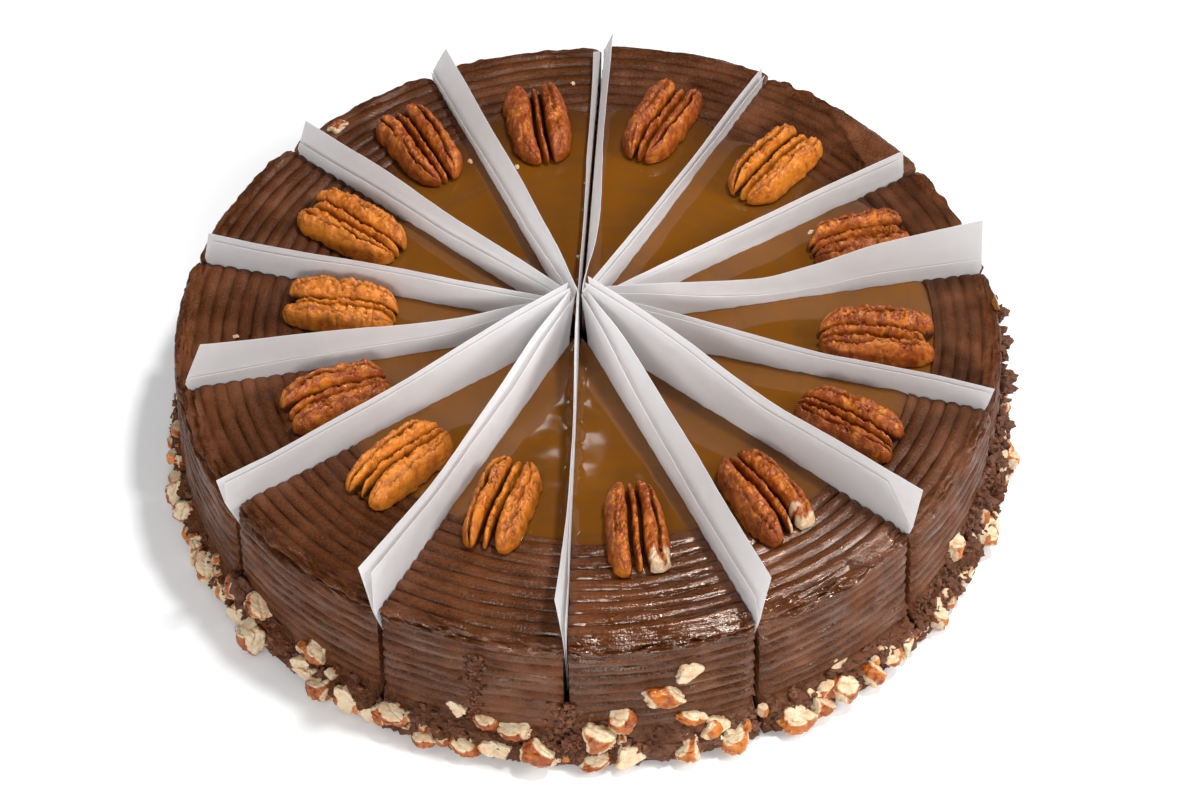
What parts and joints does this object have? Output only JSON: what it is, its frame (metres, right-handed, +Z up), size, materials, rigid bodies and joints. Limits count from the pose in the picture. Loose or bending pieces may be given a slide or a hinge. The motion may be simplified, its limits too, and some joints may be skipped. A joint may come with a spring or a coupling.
{
  "type": "cheesecake",
  "caption": "Round chocolate-iced cheesecake with a caramel top and nut halves, cut into slices with paper dividers standing in the cuts.",
  "frame": {"origin": "centre of the underside", "axes": "+Z up out of the top, the front of the picture toward -Y"},
  "size_m": [0.2625, 0.2629, 0.0729],
  "materials": {
    "frosting": "satin chocolate frosting",
    "caramel": "glossy caramel",
    "pecan": "satin nut skin",
    "paper": "waxed tissue"
  },
  "bodies": {
    "root": {"slice_01": "frosting", "slice_02": "frosting", "slice_03": "frosting", "slice_04": "frosting", "slice_05": "frosting", "slice_06": "frosting", "slice_07": "frosting", "slice_08": "frosting", "slice_09": "frosting", "slice_10": "frosting", "slice_11": "frosting", "slice_12": "frosting", "slice_13": "frosting", "slice_14": "frosting", "caramel_01": "caramel", "caramel_02": "caramel", "caramel_03": "caramel", "caramel_04": "caramel", "caramel_05": "caramel", "caramel_06": "caramel", "caramel_07": "caramel", "caramel_08": "caramel", "caramel_09": "caramel", "caramel_10": "caramel", "caramel_11": "caramel", "caramel_12": "caramel", "caramel_13": "caramel", "caramel_14": "caramel", "pecan_01": "pecan", "pecan_02": "pecan", "pecan_03": "pecan", "pecan_04": "pecan", "pecan_05": "pecan", "pecan_06": "pecan", "pecan_07": "pecan", "pecan_08": "pecan", "pecan_09": "pecan", "pecan_10": "pecan", "pecan_11": "pecan", "pecan_12": "pecan", "pecan_13": "pecan", "pecan_14": "pecan", "paper_01": "paper", "paper_02": "paper", "paper_03": "paper", "paper_04": "paper", "paper_05": "paper", "paper_06": "paper", "paper_07": "paper", "paper_08": "paper", "paper_09": "paper", "paper_10": "paper", "paper_11": "paper", "paper_12": "paper", "paper_13": "paper", "paper_14": "paper"}
  },
  "joints": []
}
